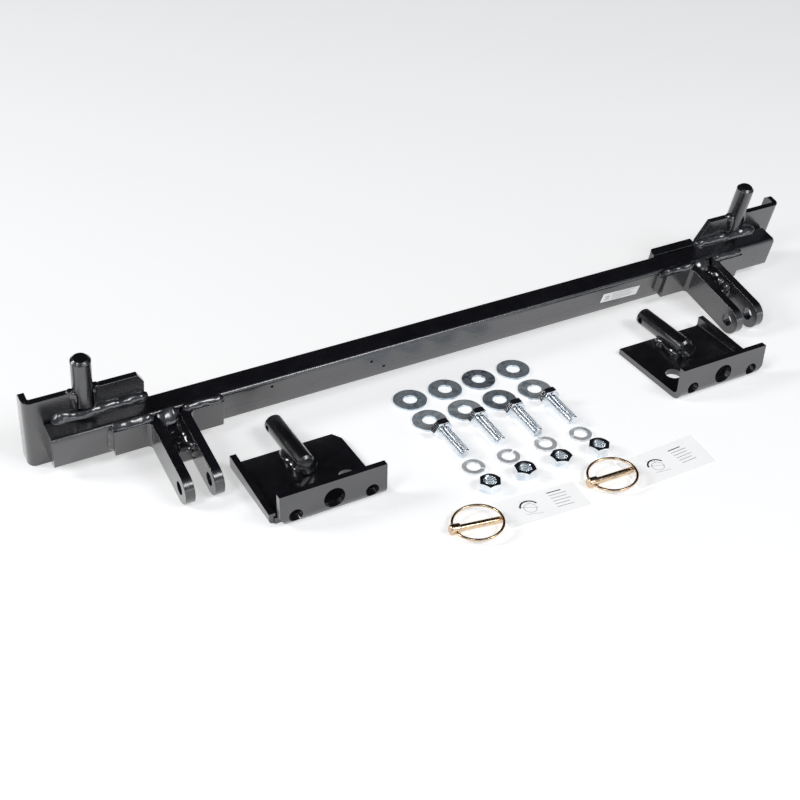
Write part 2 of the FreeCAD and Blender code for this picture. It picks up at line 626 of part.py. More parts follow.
def make_washer(label, place):
    """Large flat washer."""
    ring = ring_solid("washer_outer_radius", "washer_inner_radius", "washer_height")
    node(ring, label, laid(place))


# ---------------------------------------------------------------- linch pins and sheets

def make_linch_pin(number, head, turn, rest_height):
    """Linch pin with its wire loop, lying on its head and on the end of its shank."""
    shank = primitive("Cylinder", Radius="linch_radius", Height="linch_length")
    document.recompute()
    tip = edges_near(shank.Shape, [FreeCAD.Vector(0, 0, size.linch_length)])
    pointed = document.addObject("Part::Chamfer", "Pointed")
    pointed.Base = shank
    pointed.Edges = [(int(name[4:]), size.linch_chamfer, size.linch_chamfer) for name in tip]
    knob = primitive("Cylinder", Radius="linch_head_radius", Height="linch_head_length")
    document.recompute()
    ends = edges_near(knob.Shape, [FreeCAD.Vector(), FreeCAD.Vector(0, 0, size.linch_head_length)])
    soft = document.addObject("Part::Chamfer", "Knob")
    soft.Base = knob
    soft.Edges = [(int(name[4:]), size.linch_chamfer / 2, size.linch_chamfer / 2) for name in ends]
    eye = primitive("Cylinder", Radius="wire_radius + wire_clearance", Height="4 * linch_head_radius")
    eye.Placement = FreeCAD.Placement(
        FreeCAD.Vector(0, 2 * size.linch_head_radius, size.linch_hinge),
        FreeCAD.Rotation(FreeCAD.Vector(1, 0, 0), 90))
    pin = combined("Cut", fused([pointed, soft]), eye)

    drop = size.linch_head_radius - size.linch_radius - rest_height
    dip = math.degrees(math.asin(drop / (size.linch_length - size.linch_chamfer)))
    along = FreeCAD.Rotation(FreeCAD.Vector(0, 0, 1), turn)
    frame = along.multiply(FreeCAD.Rotation(FreeCAD.Vector(0, 1, 0), 90 + dip))
    low = size.linch_head_radius * math.cos(math.radians(dip))
    low += size.linch_head_length * math.sin(math.radians(dip))
    place = FreeCAD.Vector(head[0], head[1] + size.layout_y, low)
    where = FreeCAD.Placement(place, frame)
    node(pin, f"linch_pin_{number}", where)

    reach = math.sqrt(size.loop_radius ** 2 - size.loop_half_chord ** 2)
    opening = math.degrees(math.asin(size.loop_half_chord / size.loop_radius))
    loop = primitive("Torus", Radius1="loop_radius", Radius2="wire_radius")
    loop.Angle3 = 360 - 2 * opening
    loop.Placement = FreeCAD.Placement(FreeCAD.Vector(reach, 0, 0),
                                       FreeCAD.Rotation(FreeCAD.Vector(0, 0, 1), 180 + opening))
    bar = primitive("Cylinder", Radius="wire_radius", Height="2 * loop_half_chord")
    bar.Placement = FreeCAD.Placement(FreeCAD.Vector(0, size.loop_half_chord, 0),
                                      FreeCAD.Rotation(FreeCAD.Vector(1, 0, 0), 90))
    knees = []
    for direction in (-1, 1):
        knee = primitive("Sphere", Radius="wire_radius")
        knee.Placement.Base = FreeCAD.Vector(0, direction * size.loop_half_chord, 0)
        knees.append(knee)
    ring = fused([loop, bar] + knees)
    rise = math.degrees(math.asin((size.linch_radius + size.wire_radius + size.wire_clearance)
                                  / (reach + size.loop_radius)))
    hinge = where.multVec(FreeCAD.Vector(0, 0, size.linch_hinge))
    lie = along.multiply(FreeCAD.Rotation(FreeCAD.Vector(0, 1, 0), dip - rise))
    node(ring, f"ring_{number}", FreeCAD.Placement(hinge, lie))


def make_sheet(number, corners):
    """A thin printed decal sheet, lying flat."""
    body = body_named(f"decal_sheet_{number}", laid((0, 0)))
    sketch = sketch_on(body, "XY_Plane", "0")
    draw_outline(sketch, [(str(x), str(y)) for x, y in corners])
    pad(body, sketch, "sheet_thickness")
    middle = size.sheet_thickness / 2
    dress(body, "Fillet", [(x, y, middle) for x, y in corners], "sheet_corner")


# ---------------------------------------------------------------- the whole kit

make_tube()
make_caps()
for side, sign in SIDES:
    make_end_plate(side, sign)
    make_post(side, sign)
    make_ear(f"ear_outer_{side}", sign, sign)
    make_ear(f"ear_inner_{side}", sign, -sign)
    make_web(side, sign)
    make_bar_welds(side, sign)
make_doubler()
make_label()
make_bracket("left", mirrored=False)
make_bracket("right", mirrored=True)
for index in range(4):
    number = index + 1
    make_bolt(number, BOLT_TIPS[index], BOLT_TURNS[index])
    make_nut(number, NUTS[index], NUT_TURNS[index])
    make_lock_washer(number, LOCK_WASHERS[index], LOCK_TURNS[index])
    make_washer(f"flat_washer_{number}a", FAR_WASHERS[index])
    make_washer(f"flat_washer_{number}b", NEAR_WASHERS[index])
for index in range(2):
    rest_height = index * (size.sheet_thickness + size.sheet_clearance)
    make_linch_pin(index + 1, LINCH_HEADS[index], LINCH_TURNS[index], rest_height)
    make_sheet(index + 1, SHEETS[index])
document.recompute()

for thing in document.Objects:
    if "Invalid" in thing.State or "Error" in thing.State:
        raise RuntimeError(f"{thing.Name} ({thing.Label}) failed: {thing.State}")
os.makedirs("parts", exist_ok=True)
for thing in nodes:
    if thing.Shape.isNull() or not thing.Shape.isValid():
        raise RuntimeError(f"{thing.Label} has no valid shape")
    thing.Shape.exportStep(os.path.join("parts", f"{thing.Label}.step"))
whole = FreeCAD.BoundBox()
for thing in nodes:
    whole.add(thing.Shape.BoundBox)
print(len(nodes), "sub-parts; the kit measures", whole)
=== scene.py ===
import json
import math

import bmesh
import bpy
import numpy as np
from mathutils import Matrix, Vector, noise


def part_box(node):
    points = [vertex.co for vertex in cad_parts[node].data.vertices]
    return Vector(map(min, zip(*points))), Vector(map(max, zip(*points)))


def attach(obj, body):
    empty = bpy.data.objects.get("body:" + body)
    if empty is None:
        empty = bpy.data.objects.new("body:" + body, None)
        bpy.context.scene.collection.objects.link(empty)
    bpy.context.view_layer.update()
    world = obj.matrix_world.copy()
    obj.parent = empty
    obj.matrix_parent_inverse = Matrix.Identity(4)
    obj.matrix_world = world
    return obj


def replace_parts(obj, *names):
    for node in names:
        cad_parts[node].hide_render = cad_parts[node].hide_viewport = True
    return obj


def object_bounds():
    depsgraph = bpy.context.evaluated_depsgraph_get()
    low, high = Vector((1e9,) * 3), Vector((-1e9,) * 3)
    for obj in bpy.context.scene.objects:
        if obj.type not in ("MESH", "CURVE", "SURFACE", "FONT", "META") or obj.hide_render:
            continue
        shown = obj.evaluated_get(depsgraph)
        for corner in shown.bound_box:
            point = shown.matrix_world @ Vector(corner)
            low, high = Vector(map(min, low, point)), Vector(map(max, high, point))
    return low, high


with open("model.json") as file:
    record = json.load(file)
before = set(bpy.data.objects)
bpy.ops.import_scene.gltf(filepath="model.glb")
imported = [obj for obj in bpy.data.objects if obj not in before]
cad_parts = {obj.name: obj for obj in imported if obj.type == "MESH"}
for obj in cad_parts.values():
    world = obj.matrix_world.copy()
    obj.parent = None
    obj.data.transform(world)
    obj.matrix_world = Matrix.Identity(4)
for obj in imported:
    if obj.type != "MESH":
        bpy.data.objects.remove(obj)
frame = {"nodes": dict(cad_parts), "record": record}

MM = 0.001
CAD_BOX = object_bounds()
SIDES = (("left", -1), ("right", 1))
PAIR = (1, 2)
SET_COUNT = 4
WHITE = (1, 1, 1, 1)
FLOOR_GLOW = 0.49
# The decal sheets glow although they are no lamp: painted light that keeps them as white as the floor.
SHEET_PAINTED_GLOW = 0.44


# ---------------------------------------------------------------- materials

class Surface:
    """A material being built: a principled shader and a few texture helpers."""

    def __init__(self, name, **sockets):
        self.material = bpy.data.materials.new(name)
        self.material.use_nodes = True
        self.nodes = self.material.node_tree.nodes
        self.links = self.material.node_tree.links
        self.shader = self.nodes["Principled BSDF"]
        self.coordinates = self.nodes.new("ShaderNodeTexCoord").outputs["Object"]
        for socket, value in sockets.items():
            self.shader.inputs[socket.replace("_", " ")].default_value = value

    def noise(self, scale, detail=4.0, distortion=0.0, stretch=None):
        texture = self.nodes.new("ShaderNodeTexNoise")
        texture.inputs["Scale"].default_value = scale
        texture.inputs["Detail"].default_value = detail
        texture.inputs["Distortion"].default_value = distortion
        self.links.new(self.place(stretch), texture.inputs["Vector"])
        return texture.outputs["Fac"]

    def cells(self, scale):
        texture = self.nodes.new("ShaderNodeTexVoronoi")
        texture.inputs["Scale"].default_value = scale
        self.links.new(self.coordinates, texture.inputs["Vector"])
        return texture.outputs["Distance"]

    def place(self, stretch):
        if stretch is None:
            return self.coordinates
        mapping = self.nodes.new("ShaderNodeMapping")
        mapping.inputs["Scale"].default_value = stretch
        self.links.new(self.coordinates, mapping.inputs["Vector"])
        return mapping.outputs["Vector"]

    def spread(self, value, low, high, new_low, new_high):
        node = self.nodes.new("ShaderNodeMapRange")
        sockets = ("From Min", "From Max", "To Min", "To Max")
        for socket, number in zip(sockets, (low, high, new_low, new_high)):
            node.inputs[socket].default_value = number
        self.links.new(value, node.inputs["Value"])
        return node.outputs["Result"]

    def ramp(self, value, *stops):
        node = self.nodes.new("ShaderNodeValToRGB")
        elements = node.color_ramp.elements
        while len(elements) < len(stops):
            elements.new(0.5)
        for element, (place, color) in zip(elements, stops):
            element.position = place
            element.color = (*color, 1)
        self.links.new(value, node.inputs["Fac"])
        return node.outputs["Color"]

    def mix(self, factor, first, second):
        node = self.nodes.new("ShaderNodeMix")
        node.data_type = "RGBA"
        self.links.new(factor, node.inputs["Factor"])
        for socket, value in (("A", first), ("B", second)):
            target = [item for item in node.inputs if item.name == socket and item.type == "RGBA"][0]
            if isinstance(value, tuple):
                target.default_value = (*value, 1)
            else:
                self.links.new(value, target)
        return [item for item in node.outputs if item.type == "RGBA"][0]

    def bump(self, *layers):
        """Layers of (height, strength, distance), the coarsest first."""
        normal = None
        for height, strength, distance in layers:
            node = self.nodes.new("ShaderNodeBump")
            node.inputs["Strength"].default_value = strength
            node.inputs["Distance"].default_value = distance
            self.links.new(height, node.inputs["Height"])
            if normal is not None:
                self.links.new(normal, node.inputs["Normal"])
            normal = node.outputs["Normal"]
        self.links.new(normal, self.shader.inputs["Normal"])

    def feed(self, socket, value):
        self.links.new(value, self.shader.inputs[socket])


def black_coat(name, roughness, peel, gloss=0.17):
    """Satin black powder coat: orange peel, uneven gloss, and lighter dots in patches that are painted
    glints standing for the coat's sparkle.
    """
    made = Surface(name, Specular_IOR_Level=1.0, Coat_Weight=0.9, Coat_Roughness=gloss)
    tone = made.ramp(made.noise(35, 5), (0.3, (0.0050, 0.0050, 0.0068)), (0.7, (0.0090, 0.0090, 0.0118)))
    # Painted glints: lighter dots, gathered in patches, that stand for the sparkle of lit peel on the coat.
    painted_glint_dots = made.spread(made.cells(900), 0.14, 0.28, 1, 0)
    painted_glint_patches = made.spread(made.noise(70, 2), 0.42, 0.62, 0.15, 0.9)
    both = made.nodes.new("ShaderNodeMath")
    both.operation = "MULTIPLY"
    made.links.new(painted_glint_dots, both.inputs[0])
    made.links.new(painted_glint_patches, both.inputs[1])
    made.feed("Base Color", made.mix(both.outputs[0], tone, (0.060, 0.060, 0.066)))
    made.feed("Roughness", made.spread(made.noise(90, 6), 0.3, 0.7, roughness - 0.05, roughness + 0.07))
    made.bump((made.noise(150, 2), peel * 0.15, 0.0008), (made.noise(900, 3), peel, 0.0005))
    return made.material


def zinc(name, dark, light, rough_low, rough_high, mottle, metallic=1.0):
    """Bright zinc plate, mottled where the passivation pooled."""
    made = Surface(name, Metallic=metallic)
    clouds = made.noise(mottle, 6, 0.6)
    tone = made.ramp(clouds, (0.34, dark), (0.52, light), (0.68, tuple(0.9 * value for value in light)))
    flecks = made.spread(made.cells(900), 0.04, 0.16, 0.55, 0)
    made.feed("Base Color", made.mix(flecks, tone, tuple(0.45 * value for value in dark)))
    made.feed("Roughness", made.spread(made.noise(mottle * 2.5, 6), 0.3, 0.7, rough_low, rough_high))
    made.bump((made.noise(500, 5), 0.06, 0.0002), (made.noise(2600, 3), 0.05, 0.0001))
    return made.material


def yellow_zinc():
    """Yellow chromate over zinc, with drawn streaks and pink tints."""
    made = Surface("yellow_zinc", Metallic=1.0)
    clouds = made.ramp(made.noise(140, 5, 0.4), (0.3, (0.66, 0.42, 0.32)), (0.5, (0.80, 0.63, 0.40)),
                       (0.7, (0.62, 0.43, 0.37)))
    streaks = made.spread(made.noise(900, 5, stretch=(0.12, 1, 1)), 0.52, 0.7, 0, 0.75)
    made.feed("Base Color", made.mix(streaks, clouds, (0.16, 0.10, 0.06)))
    made.feed("Roughness", made.spread(made.noise(300, 6), 0.3, 0.7, 0.14, 0.34))
    made.bump((made.noise(1300, 4, stretch=(0.15, 1, 1)), 0.16, 0.0002))
    return made.material


def vinyl(name, tone, roughness, painted_glow=0.0):
    """Vinyl sheet or ink, with a slight curl of the surface, and a painted glow where one is given."""
    made = Surface(name, Roughness=roughness, Coat_Weight=0.2, Coat_Roughness=0.3, Emission_Strength=painted_glow)
    made.shader.inputs["Emission Color"].default_value = WHITE
    shade = tuple(0.94 * value for value in tone)
    made.feed("Base Color", made.ramp(made.noise(45, 3), (0.35, tone), (0.75, shade)))
    made.bump((made.noise(25, 2), 0.25, 0.0012), (made.noise(1500, 3), 0.08, 0.0001))
    return made.material


def pale_floor():
    """Matt white paper of the background, which glows a little to stay white."""
    made = Surface("floor_paper", Roughness=0.7, Specular_IOR_Level=0.2, Emission_Strength=FLOOR_GLOW)
    made.shader.inputs["Emission Color"].default_value = WHITE
    tone = made.ramp(made.noise(3, 2), (0.3, (0.90, 0.90, 0.905)), (0.7, (0.91, 0.91, 0.91)))
    made.feed("Base Color", tone)
    made.bump((made.noise(700, 3), 0.03, 0.0002))
    return made.material


COAT = black_coat("black_coat", 0.21, 0.42)
PLATE_COAT = black_coat("black_coat_plate", 0.20, 0.32)
WELD_COAT = black_coat("weld_coat", 0.20, 0.06, gloss=0.13)
BOLT_ZINC = zinc("zinc_bright", (0.62, 0.68, 0.74), (0.86, 0.90, 0.93), 0.10, 0.22, 120)
WASHER_ZINC = zinc("zinc_washer", (0.36, 0.44, 0.51), (0.72, 0.80, 0.86), 0.36, 0.54, 170, 0.85)
# A lighter and a darker copy of the washer zinc: painted light and painted shade on single washers.
PAINTED_LIGHT_WASHER_ZINC = zinc("zinc_washer_painted_light", (0.46, 0.54, 0.60), (0.86, 0.92, 0.96),
                        0.40, 0.56, 150, 0.70)
PAINTED_SHADE_WASHER_ZINC = zinc("zinc_washer_painted_shade", (0.16, 0.19, 0.23), (0.60, 0.66, 0.72),
                        0.28, 0.50, 190, 0.92)
LOCK_ZINC = zinc("zinc_lock", (0.70, 0.74, 0.77), (0.93, 0.95, 0.96), 0.46, 0.62, 130, 0.45)
GOLD_ZINC = yellow_zinc()
SHEET_WHITE = vinyl("decal_vinyl", (0.93, 0.93, 0.93), 0.5, painted_glow=SHEET_PAINTED_GLOW)
PALE_INK = vinyl("pale_ink", (0.50, 0.50, 0.51), 0.55)
DARK_INK = vinyl("dark_ink", (0.16, 0.16, 0.17), 0.5)
LABEL_WHITE = vinyl("label_vinyl", (0.92, 0.92, 0.91), 0.45)


# ---------------------------------------------------------------- pieces

BODY_OF = {node: body for body, nodes in frame["record"]["behaviour"]["bodies"].items() for node in nodes}


MERGE_DISTANCE = 2e-6
FLAT_ANGLE = math.radians(0.4)


def finish(name, mesh, material, node, smooth_angle=35.0):
    """Make a piece of a mesh that stands for a CAD node and rides with it."""
    mesh.materials.clear()
    mesh.materials.append(material)
    for polygon in mesh.polygons:
        polygon.use_smooth = True
        polygon.material_index = 0
    mesh.set_sharp_from_angle(angle=math.radians(smooth_angle))
    piece = bpy.data.objects.new(name, mesh)
    bpy.context.scene.collection.objects.link(piece)
    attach(piece, BODY_OF[node])
    return piece


def eased(node, material, width, segments=2, limit=35.0):
    """The CAD node's own shape with its sharp edges eased."""
    source = frame["nodes"][node]
    mesh = source.data.copy()
    shape = bmesh.new()
    shape.from_mesh(mesh)
    bmesh.ops.remove_doubles(shape, verts=shape.verts, dist=MERGE_DISTANCE)
    bmesh.ops.dissolve_limit(shape, angle_limit=FLAT_ANGLE, verts=shape.verts, edges=shape.edges)
    shape.to_mesh(mesh)
    shape.free()
    piece = finish(node + "_eased", mesh, material, node, limit)
    bevel = piece.modifiers.new("Ease", "BEVEL")
    bevel.width = width * MM
    bevel.segments = segments
    bevel.limit_method = "ANGLE"
    bevel.angle_limit = math.radians(limit)
    bevel.harden_normals = True
    bevel.miter_outer = "MITER_ARC"
    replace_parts(piece, node)
    return piece


def mesh_of(name, points, faces):
    """A mesh from points in metres and faces, with outward normals."""
    mesh = bpy.data.meshes.new(name)
    mesh.from_pydata([tuple(point) for point in points], [], faces)
    shape = bmesh.new()
    shape.from_mesh(mesh)
    bmesh.ops.recalc_face_normals(shape, faces=shape.faces)
    shape.to_mesh(mesh)
    shape.free()
    return mesh


def grid_faces(rows, columns, wrap, offset=0):
    """Quads over a grid of points, closed around its columns where wrap says so."""
    faces = []
    for row in range(rows - 1):
        for column in range(columns if wrap else columns - 1):
            following = (column + 1) % columns
            first = offset + row * columns
            faces.append((first + column, first + following,
                          first + columns + following, first + columns + column))
    return faces


# ---------------------------------------------------------------- weld beads

LEAN = math.radians(12.5)
LOW, HIGH = (Vector(corner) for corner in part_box("crossbar_tube"))
TUBE_MIDDLE = (LOW + HIGH) / 2
BAR = Matrix.Translation(TUBE_MIDDLE) @ Matrix.Rotation(LEAN, 4, "X") @ Matrix.Scale(MM, 4)
HALF_DEPTH = 12.7
HALF_HEIGHT = 19.05
BEAD_COLUMNS = 13
BEAD_STEP = 0.5


def between(ways, index, share):
    """The direction part of the way from one listed direction to the next."""
    last = len(ways) - 1
    return Vector(ways[min(index, last)]).lerp(Vector(ways[min(index + 1, last)]), share).normalized()


def weld(points, first, second, size, seed, ripple=9.0, rough=0.10):
    """One run of weld in a corner: a flowing bead that swells and narrows as it goes.

    points are the corner's path, and first and second the directions of the corner's two faces,
    all in millimetres. ripple is the length of one ripple, and rough how uneven the surface is.
    Gives the bead's points and faces.
    """
    steps = BEAD_COLUMNS
    path = [Vector(point) for point in points]
    lengths = [(b - a).length for a, b in zip(path, path[1:])]
    total = sum(lengths)
    count = max(int(total / BEAD_STEP), 6)
    made = []
    for row in range(count + 1):
        along = total * row / count
        rest = along
        index = 0
        while index < len(lengths) - 1 and rest > lengths[index]:
            rest -= lengths[index]
            index += 1
        share = rest / lengths[index]
        middle = path[index].lerp(path[index + 1], share)
        one, two = (between(ways, index, share) for ways in (first, second))
        taper = min(1.0, 0.4 + 0.6 * math.sqrt(min(along, total - along) / (size * 0.9) + 1e-4))
        slow = noise.noise(Vector((along * 0.06, seed * 7.3, 0)))
        for column in range(steps):
            turn = math.pi / 2 * column / (steps - 1)
            bow = abs(turn - math.pi / 4) / (math.pi / 4)
            phase = (along + 0.55 * size * bow * bow + 2.0 * slow) / ripple * math.pi
            wave = math.sin(phase) ** 2 - 0.5
            grain = noise.noise(Vector((along * 0.055, column * 0.07, seed * 3.1)))
            fine = noise.noise(Vector((along * 0.22, column * 0.12, seed * 5.7)))
            flat = 1.0 - 0.12 * (1 - bow * bow)
            radius = size * taper * flat * (1 + 0.16 * slow + rough * 0.35 * wave * (1 - 0.7 * bow)
                                            + rough * 1.5 * grain + rough * 0.3 * fine)
            made.append(middle + (one * math.cos(turn) + two * math.sin(turn)) * radius)
        made.append(middle - (one + two) * 0.3)
    columns = steps + 1
    faces = grid_faces(count + 1, columns, wrap=True)
    faces.append(tuple(range(columns)))
    faces.append(tuple(count * columns + column for column in range(columns)))
    return made, faces


def weld_piece(node, runs, frame_matrix):
    """All the runs of one CAD weld node, as one piece that stands for it."""
    points, faces = [], []
    for made, run_faces in runs:
        offset = len(points)
        points += [frame_matrix @ point for point in made]
        faces += [tuple(index + offset for index in face) for face in run_faces]
    piece = finish(node + "_beads", mesh_of(node, points, faces), WELD_COAT, node, 60)
    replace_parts(piece, node)


def lump(middle, radii, seed, rows=18, columns=32):
    """A rough mound of weld metal."""
    points = []
    for row in range(rows):
        lift = math.pi * (row + 0.5) / rows - math.pi / 2
        for column in range(columns):
            turn = 2 * math.pi * column / columns
            way = Vector((math.cos(lift) * math.cos(turn), math.cos(lift) * math.sin(turn), math.sin(lift)))
            swell = 1 + 0.20 * noise.noise(way * 1.2 + Vector((seed, 0, 0)))
            points.append(Vector(middle) + Vector(tuple(a * b for a, b in zip(way, radii))) * swell)
    faces = grid_faces(rows, columns, wrap=True)
    faces.append(tuple(range(columns)))
    faces.append(tuple((rows - 1) * columns + column for column in range(columns)))
    return points, faces


CLEVIS_X = 317.5
GAP = 19.05
EAR = 9.525
FOOT = 35.0
EAR_LOW = -12.7
CREST_Y = -HALF_DEPTH - 3.2
CREST_Z = HALF_HEIGHT - 0.8
PLATE_WELD_START = 327
PLATE_WELD_END = {"left": 420, "right": 414}


def foot_runs(clevis, seed):
    """Welds of a clevis's feet: an upright bead at each outer end, and a bead along each top."""
    runs = []
    for direction in (-1, 1):
        end = clevis + direction * (GAP / 2 + EAR + FOOT)
        start = clevis + direction * (GAP / 2 + 5)
        runs.append(weld([(end, -HALF_DEPTH, EAR_LOW), (end, -HALF_DEPTH, HALF_HEIGHT - 3.5)],
                         [(direction, 0, 0)], [(0, -1, 0)], 4.4, seed + direction))
        crest = [(x, CREST_Y, CREST_Z) for x in (start, end + direction)]
        for half in (-1, 1):
            runs.append(weld(crest, [(0, half, 0)], [(0, 0, 1)], 5.4, seed + 3 + direction,
                             ripple=13.0, rough=0.16))
    return runs


def web_runs(clevis, seed):
    """Welds of a clevis's web: beads along its top and front edges, a saddle, and four lumps."""
    runs = []
    for direction in (-1, 1):
        edge = clevis + direction * GAP / 2
        runs.append(weld([(edge, -58, 8.5), (edge, -20, 9)], [(-direction, 0, 0)], [(0, 0, 1)], 7.6,
                         seed + 6 + direction, ripple=11.0, rough=0.22))
        runs.append(weld([(edge, -57, -2), (edge, -57, 9)], [(-direction, 0, 0)], [(0, -1, 0)], 3.0,
                         seed + 9 + direction))
    runs.append(weld([(clevis - 12, -15.5, 13), (clevis + 12, -15.5, 13)],
                     [(0, -1, -0.15)], [(0, 0.3, 1)], 8.2, seed + 12, ripple=14.0, rough=0.14))
    for index, (x, y) in enumerate(((-2, -27), (3, -36), (-3, -44), (2, -52))):
        runs.append(lump((clevis + x, y, 8.6), (7.6, 6.4, 2.8), seed + 20 + index))
    return runs


def post_runs(side, seed):
    """Welds of a guide post: an upright bead and a lump on each side of it."""
    low, high = (Vector(corner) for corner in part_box(f"guide_post_{side}"))
    post_x = (low.x + high.x) / 2 / MM
    runs = []
    for direction in (-1, 1):
        inside = post_x + direction * 8.0
        runs.append(weld([(inside, HALF_DEPTH + 1, 25), (inside, HALF_DEPTH + 1, 48.8)],
                         [(direction, 0, 0)], [(0, -1, 0)], 5.8, seed + 33 + direction,
                         ripple=18.0, rough=0.08))
        runs.append(lump((post_x + direction * 11.6, HALF_DEPTH + 3.2, 47.2), (4.4, 3.6, 2.4),
                         seed + 40 + direction))
    return runs


for side, sign in SIDES:
    seed = 10 if sign < 0 else 50
    weld_piece(f"foot_welds_{side}", foot_runs(sign * CLEVIS_X, seed), BAR)
    weld_piece(f"web_welds_{side}", web_runs(sign * CLEVIS_X, seed), BAR)
    ends = (sign * PLATE_WELD_START, sign * PLATE_WELD_END[side])
    plate = weld([(x, HALF_DEPTH, CREST_Z) for x in ends], [(0, -1, 0.12)], [(0, 0, 1)], 7.6,
                 seed + 30, ripple=16.0, rough=0.15)
    weld_piece(f"plate_weld_{side}", [plate], BAR)
    weld_piece(f"post_welds_{side}", post_runs(side, seed), BAR)

PIN_RADIUS = 9.525
FRONT_RADIUS = 8.6
FRONT_STEPS = 8
for side, sign in SIDES:
    low, high = (Vector(corner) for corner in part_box(f"bracket_pin_{side}"))
    place = Matrix.Translation(((low.x + high.x) / 2, low.y, (low.z + high.z) / 2)) @ Matrix.Scale(MM, 4)
    down = -PIN_RADIUS
    runs = []
    for direction in (-1, 1):
        x = direction * 4.9
        runs.append(weld([(x, 0.5, down), (x, 41, down)], [(direction, 0, 0)],
                         [(direction * 0.35, 0, 1)], 7.6, 70 + sign + direction, rough=0.14))
    turns = [math.pi * index / FRONT_STEPS for index in range(FRONT_STEPS + 1)]
    front = [(math.cos(turn) * FRONT_RADIUS, -0.2, -math.sin(turn) * FRONT_RADIUS + 1.0) for turn in turns]
    outward = [(math.cos(turn), 0, -math.sin(turn)) for turn in turns]
    runs.append(weld(front, [(0, -1, 0)] * len(turns), outward, 3.6, 80 + sign, ripple=12.0, rough=0.08))
    weld_piece(f"bracket_pin_welds_{side}", runs, place)


# ---------------------------------------------------------------- coated steel

for node in ("crossbar_tube", "tube_cap_left", "tube_cap_right"):
    eased(node, COAT, 0.5)
for side, sign in SIDES:
    eased(f"end_plate_{side}", PLATE_COAT, 0.6)
    eased(f"guide_post_{side}", COAT, 0.5, 3)
    eased(f"ear_outer_{side}", PLATE_COAT, 0.7, 3)
    eased(f"ear_inner_{side}", PLATE_COAT, 0.7, 3)
    eased(f"clevis_web_{side}", COAT, 0.8)
    eased(f"bracket_plate_{side}", PLATE_COAT, 0.7, 3)
    eased(f"bracket_pin_{side}", COAT, 0.5, 3)
eased("doubler_right", COAT, 0.6)


SEAM_START, SEAM_END, SEAM_LEVEL = -268.0, 178.0, -3.2


def seam():
    """The tube's own weld seam: a low ridge on its front face, from the left clevis to the label."""
    points = []
    rows, columns = 240, 5
    for row in range(rows):
        x = SEAM_START + (SEAM_END - SEAM_START) * row / (rows - 1)
        sway = 0.25 * noise.noise(Vector((x * 0.02, 3.3, 0)))
        for column in range(columns):
            turn = math.pi * column / (columns - 1)
            points.append(BAR @ Vector((x, -HALF_DEPTH + 0.05 - 0.20 * math.sin(turn),
                                        SEAM_LEVEL + sway - 0.5 * math.cos(turn))))
    finish("tube_seam", mesh_of("tube_seam", points, grid_faces(rows, columns, wrap=False)),
           COAT, "crossbar_tube", 80)


seam()
eased("bar_label", LABEL_WHITE, 0.1, 1)


# ---------------------------------------------------------------- fasteners

FLAT = 19.05 / 2
PITCH = 25.4 / 13
HEAD_HEIGHT = 7.9
SHANK = 38.1
NUT_HEIGHT = 11.1
COLUMNS = 72


def bolt_frame(node):
    """Where a CAD bolt lies: a matrix with Z from its tip to its head and X to a flat's middle."""
    spots = {tuple(round(value, 6) for value in vertex.co) for vertex in frame["nodes"][node].data.vertices}
    cloud = np.array(sorted(spots))
    middle = cloud.mean(axis=0)
    along = np.linalg.eigh(np.cov((cloud - middle).T))[1][:, 2]
    reach = (cloud - middle) @ along
    away = cloud - middle - np.outer(reach, along)
    widest = int(np.argmax(np.linalg.norm(away, axis=1)))
    if reach[widest] < 0:
        along, reach = -along, -reach
    tip = Vector(middle + along * reach.min())
    axis, corner = Vector(along), Vector(away[widest]).normalized()
    flat = Matrix.Rotation(math.pi / 6, 3, axis) @ corner
    turned = Matrix((flat, axis.cross(flat), axis)).transposed().to_4x4()
    return Matrix.Translation(tip) @ turned


def hex_radius(turn):
    """Reach of a hexagon at an angle from the middle of one flat."""
    off = (turn + math.pi / 6) % (math.pi / 3) - math.pi / 6
    return FLAT / math.cos(off)


def hexagon_rows(heights, columns):
    """Rows of points, one for each (height, radius, lean): a circle, or a hexagon with no radius.

    A hexagon's corners drop below its height where lean is 1, and rise above it where it is -1.
    """
    points = []
    for height, cap, lean in heights:
        for column in range(columns):
            turn = 2 * math.pi * column / columns
            reach = hex_radius(turn)
            if cap is None:
                drop = max(0.0, reach - FLAT * 0.985) * 0.577
                points.append(Vector((reach * math.cos(turn), reach * math.sin(turn), height - lean * drop)))
            else:
                points.append(Vector((cap * math.cos(turn), cap * math.sin(turn), height)))
    return points


def thread_rows(start, end, crest, root, columns, step=0.163, taper=1.6):
    """Rows of points along a thread, between two heights."""
    points = []
    rows = int((end - start) / step) + 1
    for row in range(rows):
        height = start + (end - start) * row / (rows - 1)
        near_tip = min(1.0, (height - start) / taper)
        for column in range(columns):
            turn = 2 * math.pi * column / columns
            share = (height / PITCH - column / columns) % 1.0
            tooth = min(1.0, max(0.0, (abs(share - 0.5) * 2 - 0.10) / 0.78))
            limit = crest - (1 - near_tip) * 1.1
            radius = min(root + (crest - root) * tooth, limit)
            points.append(Vector((radius * math.cos(turn), radius * math.sin(turn), height)))
    return points, rows


def circle(radius, height):
    """A ring of points around the axis."""
    return [Vector((radius * math.cos(2 * math.pi * column / COLUMNS),
                    radius * math.sin(2 * math.pi * column / COLUMNS), height))
            for column in range(COLUMNS)]


